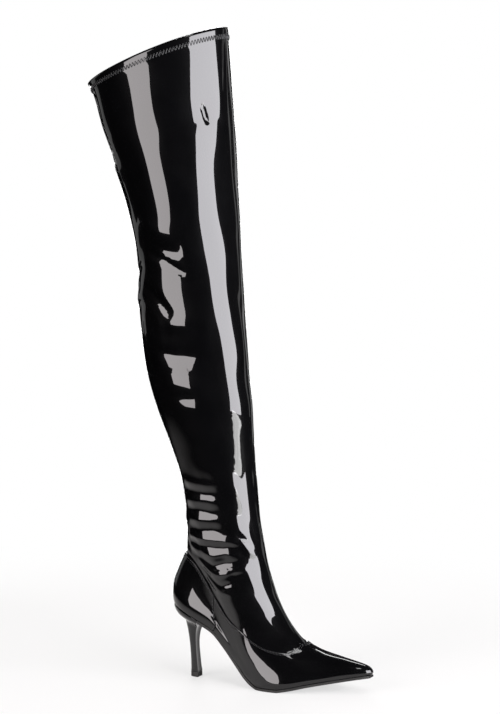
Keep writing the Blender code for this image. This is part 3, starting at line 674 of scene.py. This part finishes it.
rows = np.concatenate([
    np.linspace(0.0, 5.0, 8)[:-1],
    np.linspace(5.0, SLOT_LOW, 31)[:-1],
    np.linspace(SLOT_LOW, 11.0, 67)[:-1],
    np.linspace(11.0, SLOT_HIGH, 31)[:-1],
    np.linspace(SLOT_HIGH, 18.2, 68)[:-1],
    np.linspace(18.2, 18.9, 23)[:-1],
    np.linspace(18.9, 19.5, 10)[:-1],
    np.linspace(19.5, LAST_RING, 11),
])
build, column, row = grid_mesh(AROUND, len(rows) - 1)
t = rows[row]
middle = ZIP_U * AROUND
apart = column - round(middle)
half_slot = ZIP_SLOT / 2 / along_width(np.full_like(t, ZIP_U), t)
fade = np.clip((SLOT_BLEND - np.abs(apart)) / (SLOT_BLEND - SLOT_CELLS), 0.0, 1.0)
inside = np.clip((t - SLOT_FADE_RING) / (SLOT_LOW - SLOT_FADE_RING), 0.0, 1.0)
wanted = ZIP_U + np.clip(apart / SLOT_CELLS, -1, 1) * half_slot
plain = (round(middle) + np.clip(apart, -SLOT_CELLS, SLOT_CELLS)) / AROUND
u = column / AROUND + inside * fade * (wanted - plain)
lay(build, surface(u, t, upper_out(u, t)))
slot_faces = []
for face in build.faces:
    k = [v.index for v in face.verts]
    if below_rim(t[k].min()) < HEM_DEPTH:
        face.material_index = HEM_PAINT
    across = abs(apart[k]).max() <= SLOT_CELLS
    if across and SLOT_LOW - 1e-6 <= t[k].min() and t[k].max() <= SLOT_HIGH + 1e-6:
        slot_faces.append(face)
bmesh.ops.delete(build, geom=slot_faces, context="FACES")
bmesh.ops.remove_doubles(build, verts=build.verts, dist=1e-6)
bmesh.ops.recalc_face_normals(build, faces=build.faces)
# The hem is turned in, so that its patent also shows inside above the knit.
shaft_paints = (shaft_patent, lining_knit, shaft_patent, shaft_patent)
shaft = finish_piece("shaft", build, shaft_paints, replaced=("upper",))
thicken(shaft, UPPER_WALL, inner_paint=1)


# Vamp and counter
# Two stiff patent overlays of the pump: the vamp from the toe to the side seams and
# the counter round the heel. Their top edges are turned and stitched twice.
TOPLINE_RING = 5.0
OVERLAY_START = 0.14 / TOPLINE_RING
TOPLINE = (
    (0.00, 5.00),
    (0.06, 5.38),
    (0.12, 5.50),
    (0.17, 5.32),
    (0.22, 5.05),
    (0.29, 4.87),
    (0.40, 4.87),
    (0.50, 4.93),
    (0.56, 4.80),
    (0.62, 4.55),
    (0.68, 4.15),
    (0.73, 3.86),
    (0.78, 3.80),
    (0.84, 4.00),
    (0.91, 4.42),
    (0.96, 4.78),
    (1.00, 4.90),
)
SIDE_SEAM = (0.243, 0.312)
SEAM_HALF_GAP = 0.0006
OVERLAY_OUT = GAP + OVERLAY_WALL
OVERLAY_EDGE = 0.0005
OVERLAY_ROWS = 56


def topline(u):
    return smooth(TOPLINE, 1, (1 - np.cos(2 * pi * np.asarray(u, float))) / 2)


def seam_u(share, side):
    # The side seam leans forward from the feather edge to the topline.
    station = SIDE_SEAM[0] + (SIDE_SEAM[1] - SIDE_SEAM[0]) * share
    place = np.arccos(1 - 2 * station) / (2 * pi)
    return place if side > 0 else 1 - place


def overlay(name, first, last, across, node):
    # One overlay from its first to its last seam, laid over the upper.
    build, column, row = grid_mesh(across, OVERLAY_ROWS)
    share = OVERLAY_START + (1 - OVERLAY_START) * row / OVERLAY_ROWS
    u = first(share) + (last(share) - first(share)) * column / across
    lay(build, surface(u, topline(u) * share, OVERLAY_OUT))
    bmesh.ops.recalc_face_normals(build, faces=build.faces)
    piece = finish_piece(name, build, (pump_patent,), replaced=(node,))
    thicken(piece, OVERLAY_WALL)
    round_edges(piece, OVERLAY_EDGE, 3)


pump_patent = finish_paint("pump_patent", BLACK, SOFT_BLACK, (0.24, 0.30), 30, 380, 0.02,
                           0.08, 0.0005, coat=1.0, coat_rough=0.015, specular=0.02)
overlay("vamp_overlay", lambda s: seam_u(s, 1) + SEAM_HALF_GAP,
        lambda s: seam_u(s, -1) - SEAM_HALF_GAP, 150, "vamp")
overlay("counter_overlay", lambda s: seam_u(s, -1) - 1 + SEAM_HALF_GAP,
        lambda s: seam_u(s, 1) - SEAM_HALF_GAP, 90, "counter")


# Stitching
# Black thread: two rows beside the pump's top edge, one each side of the side seams
# and the back seam, and the zigzag that holds the hem. Each row is one swept thread.
STITCH = 0.0026
STITCH_SPACE = 0.0009
STITCH_STEPS = 8
STITCH_ARCH = ((0, -0.4), (1, 0.55), (3, 1.0), (5, 0.55), (6, -0.4))
THREAD = 0.00026
THREAD_END = 0.55
SHORT_RUN = 20
UPRIGHT = np.array([0.0, 0.0, 1.0])


def even_path(points, spacing):
    # Points taken at even spacing along a dense line.
    length = np.concatenate([[0.0], np.cumsum(np.linalg.norm(np.diff(points, axis=0), axis=1))])
    places = np.linspace(0.0, length[-1], max(2, int(length[-1] / spacing)))
    return np.stack([np.interp(places, length, points[:, k]) for k in range(3)], axis=1)


def thread_piece(name, runs, paint, radius=THREAD, sides=6):
    # One grid is rolled round every run of points, parted between the runs, and the
    # ends of each thread are closed.
    points, aside, upward, size, owner = [], [], [], [], []
    for k, run in enumerate(runs):
        run = np.asarray(run)
        ahead = np.gradient(run, axis=0)
        steady = UPRIGHT
        if len(run) < SHORT_RUN:
            steady = np.eye(3)[np.argmin(np.abs(run[-1] - run[0]))]
        cross = np.cross(ahead, steady)
        cross /= np.linalg.norm(cross, axis=1, keepdims=True)
        over = np.cross(cross, ahead)
        over /= np.linalg.norm(over, axis=1, keepdims=True)
        girth = np.full(len(run), radius)
        girth[[0, -1]] *= THREAD_END
        points.append(run)
        aside.append(cross)
        upward.append(over)
        size.append(girth)
        owner.append(np.full(len(run), k))
    points, owner = np.concatenate(points), np.concatenate(owner)
    aside, upward = np.concatenate(aside), np.concatenate(upward)
    size = np.concatenate(size)[:, None]
    build, column, row = grid_mesh(sides, len(points) - 1)
    angle = (2 * pi * column / sides)[:, None]
    outward = np.cos(angle) * aside[row] + np.sin(angle) * upward[row]
    lay(build, points[row] + size[row] * outward)
    between = [f for f in build.faces if len({owner[row[v.index]] for v in f.verts}) > 1]
    bmesh.ops.delete(build, geom=between, context="FACES")
    bmesh.ops.remove_doubles(build, verts=build.verts, dist=1e-7)
    bmesh.ops.holes_fill(build, edges=[e for e in build.edges if e.is_boundary], sides=sides)
    bmesh.ops.recalc_face_normals(build, faces=build.faces)
    return finish_piece(name, build, (paint,))


def stitch_runs(line_points, lift_points):
    # Short stitches along a line, each arched from hole to hole.
    runs = []
    pitch = STITCH + STITCH_SPACE
    path = even_path(line_points, pitch / STITCH_STEPS)
    high = even_path(lift_points, pitch / STITCH_STEPS)
    count = min(len(path), len(high))
    for start in range(0, count - STITCH_STEPS + 1, STITCH_STEPS):
        run = []
        for k, rise in STITCH_ARCH:
            run.append(path[start + k] + (high[start + k] - path[start + k]) * rise)
        runs.append(run)
    return runs


waxed_thread = finish_paint("waxed_thread", (0.010, 0.010, 0.011), (0.022, 0.022, 0.024),
                            (0.30, 0.42), 900, 4000, 0.5, 0.4, 0.0002, specular=0.6)

TOP_EDGE_ROWS = (0.0022, 0.0046)
SEAM_CLEAR = 0.003
runs = []
for down in TOP_EDGE_ROWS:
    u = np.linspace(0.0, 1.0, 900)
    t = topline(u)
    rise = np.linalg.norm(surface(u, t) - surface(u, t - 0.1), axis=-1) / 0.1
    t = t - down / rise
    skip = np.minimum(np.abs(u - seam_u(1.0, 1)), np.abs(u - seam_u(1.0, -1))) < SEAM_CLEAR
    for part in np.split(np.arange(len(u)), np.flatnonzero(np.diff(skip.astype(int))) + 1):
        if skip[part[0]] or len(part) < SHORT_RUN:
            continue
        line = surface(u[part], t[part], OVERLAY_OUT)
        runs += stitch_runs(line, surface(u[part], t[part], OVERLAY_OUT + THREAD))
thread_piece("top_edge_stitches", runs, waxed_thread)

SIDE_STITCH_BESIDE = 0.0020
runs = []
for side in (1, -1):
    share = np.linspace(0.06, 0.94, 120)
    u = seam_u(share, side)
    t = topline(u) * share
    u = u - side * SIDE_STITCH_BESIDE / along_width(u, t)
    runs += stitch_runs(surface(u, t, OVERLAY_OUT), surface(u, t, OVERLAY_OUT + THREAD))
thread_piece("side_seam_stitches", runs, waxed_thread)

HEM_STITCH_TOP = 0.0078
HEM_STITCH_HEIGHT = 0.0052
HEM_STITCH_PITCH = 0.0034
HEM_THREAD = 0.00036
around = np.linspace(0.0, 1.0, 721)
low_t = LAST_RING - (HEM_STITCH_TOP + HEM_STITCH_HEIGHT) / RIM_RISE
high_t = LAST_RING - HEM_STITCH_TOP / RIM_RISE
rim_length = along_width(around, np.full_like(around, high_t)).mean()
teeth = int(rim_length / HEM_STITCH_PITCH)
SWING = (0.0, 0.08, 0.5, 0.92, 1.0, 0.92, 0.5, 0.08)
LIFT = (-0.3, 0.5, 1.1, 0.5, -0.3, 0.5, 1.1, 0.5)
places = np.arange(teeth * len(SWING)) / (teeth * len(SWING))
t = low_t + (high_t - low_t) * np.tile(SWING, teeth)
out = upper_out(places, t) + HEM_THREAD * np.tile(LIFT, teeth)
thread_piece("hem_stitches", [surface(places, t, out)], waxed_thread, radius=HEM_THREAD)


# Back seam
# The shaft is closed behind by a narrow raised seam that runs from the counter to
# the hem, with a row of stitches on each side.
SEAM_HALF = 0.0011
SEAM_RISE = 0.0006
SEAM_WANDER = 0.15
SEAM_WAVES = 4.0
SEAM_SINK = 0.0001
SEAM_WALL = 0.0004
SEAM_FIRST, SEAM_LAST = 5.05, LAST_RING
SEAM_ACROSS, SEAM_ROWS = 6, 260
BACK_STITCH_BESIDE = 0.0021
build, column, row = grid_mesh(SEAM_ACROSS, SEAM_ROWS)
t = SEAM_FIRST + (SEAM_LAST - SEAM_FIRST) * row / SEAM_ROWS
beside = 2 * column / SEAM_ACROSS - 1
u = beside * SEAM_HALF / along_width(np.zeros_like(t), t)
rise = SEAM_RISE * (1 + SEAM_WANDER * np.sin(2 * pi * t * SEAM_WAVES)) * np.cos(beside * pi / 2)
lay(build, surface(u, t, upper_out(u, t) + rise - SEAM_SINK))
bmesh.ops.recalc_face_normals(build, faces=build.faces)
seam = finish_piece("back_seam", build, (shaft_patent,))
thicken(seam, SEAM_WALL)

runs = []
for side in (-1, 1):
    t = np.linspace(SEAM_FIRST + 0.1, SEAM_LAST - 0.1, 2000)
    u = side * BACK_STITCH_BESIDE / along_width(np.zeros_like(t), t)
    out = upper_out(u, t)
    runs += stitch_runs(surface(u, t, out), surface(u, t, out + THREAD))
thread_piece("back_seam_stitches", runs, waxed_thread, sides=5)


# Insole
# The board under the foot, covered with smooth black lining and glued in over the
# sole. The CAD's plate has its true shape and stays.
insole_cover = finish_paint("insole_cover", (0.016, 0.015, 0.015), (0.030, 0.029, 0.028),
                            (0.55, 0.70), 260, 1500, 0.6, 0.4, 0.0004)
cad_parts["insole"].data.materials.clear()
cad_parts["insole"].data.materials.append(insole_cover)


# Outsole
# A thin moulded sole from the heel's breast to the toe, with a rounded edge and a
# flat under the ball.
BREAST_STATION = 0.158
SOLE_MARGIN = 0.0020
SOLE_CORNER = 0.0008
TILT_LEAST = 0.5
SOLE_EDGE = (
    (0.15, 0.75),
    (0.30, 0.50),
    (0.45, 1.00),
    (1.00, 1.00),
)


def plan_edge(station, side, grow):
    # Feather outline of one side, moved out sideways by grow.
    u = np.arccos(1 - 2 * station) / (2 * pi)
    u = np.where(side < 0, 1 - u, u)
    step = 0.0005
    here = last_point(u, 0.0)
    along = last_point(u + step, 0.0) - last_point(u - step, 0.0)
    tilt = -along[..., 0] / np.hypot(along[..., 0], along[..., 1])
    tilt = np.sign(tilt) * np.maximum(np.abs(tilt), TILT_LEAST)
    return here[..., 0], here[..., 1] + grow / tilt


SOLE_ALONG, SOLE_ACROSS = 140, 24
build, column, row = grid_mesh(SOLE_ALONG, SOLE_ACROSS)
first = np.arccos(1 - 2 * BREAST_STATION)
station = (1 - np.cos(first + (pi - first) * column / SOLE_ALONG)) / 2
place = np.clip(station, 0.0, 0.9995)
margin = SOLE_MARGIN * np.interp(station, [r[0] for r in SOLE_EDGE], [r[1] for r in SOLE_EDGE])
x, outer_y = plan_edge(place, 1, margin)
x, inner_y = plan_edge(place, -1, margin)
share = row / SOLE_ACROSS
x = x + np.where(column == SOLE_ALONG, SOLE_MARGIN * 0.6, 0.0)
y = outer_y + (inner_y - outer_y) * share
lay(build, np.stack([x, y, sole_height(station) - GAP], axis=1))
bmesh.ops.recalc_face_normals(build, faces=build.faces)
if sum(face.normal.z for face in build.faces) < 0:
    bmesh.ops.reverse_faces(build, faces=build.faces)
sole_rubber = finish_paint("sole_rubber_finish", (0.010, 0.010, 0.010),
                           (0.020, 0.019, 0.018), (0.42, 0.60), 90, 900, 0.5, 0.35, 0.0004,
                           specular=0.35)
outsole = finish_piece("outsole_sheet", build, (sole_rubber,),
                       replaced=("outsole",))
thicken(outsole, SOLE_WALL)
round_edges(outsole, SOLE_CORNER, 3)


# Heel
# A slender moulded stiletto covered in the pump's patent. It cups the seat at the
# top and stands on a small rubber top piece.
HEEL_COLUMNS = ("row", "back_z", "front_z", "back_x", "front_x", "width", "seat")
HEEL = (
    (0, 0.970, 0.790, -0.103, 0.050, 0.620, 1.0),
    (1, 0.880, 0.755, -0.088, 0.040, 0.480, 0.5),
    (2, 0.790, 0.705, -0.063, 0.022, 0.270, 0.0),
    (3, 0.680, 0.630, -0.049, 0.010, 0.180, 0.0),
    (4, 0.550, 0.530, -0.040, 0.005, 0.140, 0.0),
    (5, 0.420, 0.420, -0.034, 0.005, 0.124, 0.0),
    (6, 0.280, 0.280, -0.030, 0.009, 0.128, 0.0),
    (7, 0.140, 0.140, -0.028, 0.014, 0.136, 0.0),
    (8, 0.0742, 0.0742, -0.0285, 0.0180, 0.145, 0.0),
)
HEEL_TURN = 44
HEEL_BREAST = 12
HEEL_SECTIONS = 49
BREAST_HOLLOW = 0.05
HEEL_EDGE = 0.0005
TOP_PIECE_HEIGHT = 0.0060
TOP_PIECE_EDGE = 0.0004


def sole_level(x):
    # The sole's underside at a place along the foot, carried on behind the heel.
    back_x, front_x = FOOT_LENGTH * RINGS[0][0], FOOT_LENGTH * RINGS[0][2]
    station = np.clip((x - back_x) / (front_x - back_x), 0.0, 1.0)
    slope = (SOLE[1][1] - SOLE[0][1]) * SEAT_HEIGHT / (SOLE[1][0] * (front_x - back_x))
    return sole_height(station) + np.minimum(x - back_x, 0.0) * slope


def heel_section(back_z, front_z, back_x, front_x, width, seat, top=False):
    # One loop of the heel: a half oval behind and a slightly hollow breast in front.
    x0, x1 = FOOT_LENGTH * back_x, FOOT_LENGTH * front_x
    turn = (np.arange(HEEL_TURN + 1) / HEEL_TURN - 0.5) * pi
    x = x0 + (x1 - x0) * (1 - np.cos(turn))
    y = HALF_BALL * width * np.sin(turn)
    first_x = FOOT_LENGTH * RINGS[0][0]
    foot = FOOT_LENGTH * (RINGS[0][2] - RINGS[0][0])
    station = np.clip((x - first_x) / foot, 0.0005, 1.0)
    outer = plan_edge(station, np.full_like(x, 1), GAP + OVERLAY_WALL)[1]
    inner = plan_edge(station, np.full_like(x, -1), GAP + OVERLAY_WALL)[1]
    edge = np.where(turn < -1e-6, outer, np.where(turn > 1e-6, inner, 0.0))
    y = y + seat * (edge - y)
    share = np.arange(1, HEEL_BREAST) / HEEL_BREAST
    hollow = BREAST_HOLLOW * (x1 - x0) * np.sin(pi * share)
    x = np.concatenate([x, x1 - hollow])
    y = np.concatenate([y, y[-1] + (y[0] - y[-1]) * share])
    z = SEAT_HEIGHT * (back_z + (front_z - back_z) * (x - x0) / (x1 - x0))
    if top:
        z = sole_level(x) - GAP
    return np.stack([x, y, z], axis=1)


def stack_sections(name, sections, paint, node):
    # Sections joined one to the next from a first loop of edges, and both ends closed.
    build = bmesh.new()
    ring = bmesh.ops.create_circle(build, segments=len(sections[0]), radius=1.0)["verts"]
    for vertex, point in zip(ring, sections[0]):
        vertex.co = point
    edges = list(build.edges)
    bmesh.ops.contextual_create(build, geom=edges)
    for section in sections[1:]:
        made = bmesh.ops.extrude_edge_only(build, edges=edges)["geom"]
        edges = [g for g in made if isinstance(g, bmesh.types.BMEdge)]
        build.verts.index_update()
        fresh = [g for g in made if isinstance(g, bmesh.types.BMVert)]
        follow = {}
        for edge in build.edges:
            a, b = edge.verts
            for old, new in ((a, b), (b, a)):
                if old in ring and new in fresh:
                    follow[old] = new
        ring = [follow[v] for v in ring]
        for vertex, point in zip(ring, section):
            vertex.co = point
        edges = [e for e in edges if e.verts[0] in fresh and e.verts[1] in fresh]
    bmesh.ops.contextual_create(build, geom=edges)
    bmesh.ops.remove_doubles(build, verts=build.verts, dist=1e-6)
    bmesh.ops.recalc_face_normals(build, faces=build.faces)
    return finish_piece(name, build, (paint,), replaced=(node,))


sections = [heel_section(*HEEL[0][1:], top=True)]
for k in np.linspace(0.0, HEEL[-1][0], HEEL_SECTIONS):
    section = [float(smooth(HEEL, c, k)) for c in range(1, len(HEEL_COLUMNS))]
    sections.append(heel_section(*section))
heel = stack_sections("heel_cover", sections, pump_patent, "heel")
round_edges(heel, HEEL_EDGE, 3)

tip_rubber = finish_paint("tip_rubber", (0.012, 0.012, 0.012), (0.022, 0.021, 0.020),
                          (0.50, 0.65), 200, 1600, 0.5, 0.4, 0.0003, specular=0.4)
level = TOP_PIECE_HEIGHT / SEAT_HEIGHT
foot_of_heel = HEEL[-1][3:]
sections = [heel_section(k * level, k * level, *foot_of_heel) for k in (1.0, 0.66, 0.33, 0.0)]
top_piece = stack_sections("heel_tip", sections, tip_rubber, "top_piece")
round_edges(top_piece, TOP_PIECE_EDGE)


# Zip
# A coil zip on the inner side, closed, with its woven tape behind the slot, a
# slider at the top and a flat pull that hangs from the slider's pin.
ZIP_TAPE = 0.0220
TAPE_WALL = 0.0006
TAPE_BEHIND = 0.0005
TAPE_PAST = 0.2
TAPE_ACROSS, TAPE_ROWS = 16, 130
COIL_PITCH = 0.0013
COIL_HALF = 0.0023
COIL_THREAD = 0.00042
COIL_SHORT = 0.08
COIL_ACROSS = np.array([0.25, 0.0, -0.45, -0.8, -1.0])
COIL_RISE = np.array([-0.0002, 0.0002, 0.0002, -0.0001, -0.0007])
SLIDER_EDGE, PULL_EDGE = 0.00012, 0.00015
build, column, row = grid_mesh(TAPE_ACROSS, TAPE_ROWS)
t = SLOT_LOW - TAPE_PAST + (SLOT_HIGH - SLOT_LOW + 2 * TAPE_PAST) * row / TAPE_ROWS
beside = (column / TAPE_ACROSS - 0.5) * ZIP_TAPE
u = ZIP_U + beside / along_width(np.full_like(t, ZIP_U), t)
lay(build, surface(u, t, -UPPER_WALL - TAPE_BEHIND))
bmesh.ops.recalc_face_normals(build, faces=build.faces)
tape_cloth = finish_paint("tape_cloth", (0.010, 0.010, 0.011), (0.028, 0.028, 0.030),
                          (0.85, 0.95), 1800, 5200, 0.5, 0.7, 0.0004)
tape = finish_piece("zip_tape_cloth", build, (tape_cloth,),
                    replaced=("zip_tape",))
thicken(tape, TAPE_WALL)

t = np.linspace(SLOT_LOW + COIL_SHORT, SLOT_HIGH - COIL_SHORT, 3000)
path = surface(np.full_like(t, ZIP_U), t)
length = np.concatenate([[0.0], np.cumsum(np.linalg.norm(np.diff(path, axis=0), axis=1))])
places = np.interp(np.arange(0.0, length[-1], COIL_PITCH / 2), length, t)
runs = []
for k, place in enumerate(places):
    side = 1 if k % 2 else -1
    turn = 1 / float(along_width(np.array(ZIP_U), np.array(place)))
    across = COIL_ACROSS * COIL_HALF * side * turn
    runs.append(surface(ZIP_U + across, np.full(len(across), place), COIL_RISE))
coil_plastic = finish_paint("coil_plastic", (0.014, 0.014, 0.015), (0.024, 0.024, 0.026),
                            (0.28, 0.38), 700, 3000, 0.4, 0.3, 0.0002)
coil = thread_piece("zip_coil_teeth", runs, coil_plastic, radius=COIL_THREAD)
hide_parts("zip_coil")

black_nickel = finish_paint("black_nickel", (0.11, 0.11, 0.12), (0.16, 0.16, 0.17),
                            (0.16, 0.30), 400, 2600, 0.4, 0.25, 0.0001, metallic=1.0)


def refined(name, node, body, edge):
    # A copy of a small metal CAD piece with its edges eased.
    build = bmesh.new()
    build.from_mesh(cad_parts[node].data)
    bmesh.ops.remove_doubles(build, verts=build.verts, dist=1e-6)
    flat = radians(2)
    bmesh.ops.dissolve_limit(build, angle_limit=flat, verts=build.verts, edges=build.edges)
    piece = finish_piece(name, build, (black_nickel,), body=body,
                         replaced=(node,), smooth_faces=False)
    round_edges(piece, edge, angle=35)


refined("slider_body", "zip_slider", "boot", SLIDER_EDGE)
refined("pull_tab", "zip_pull", "zip pull", PULL_EDGE)
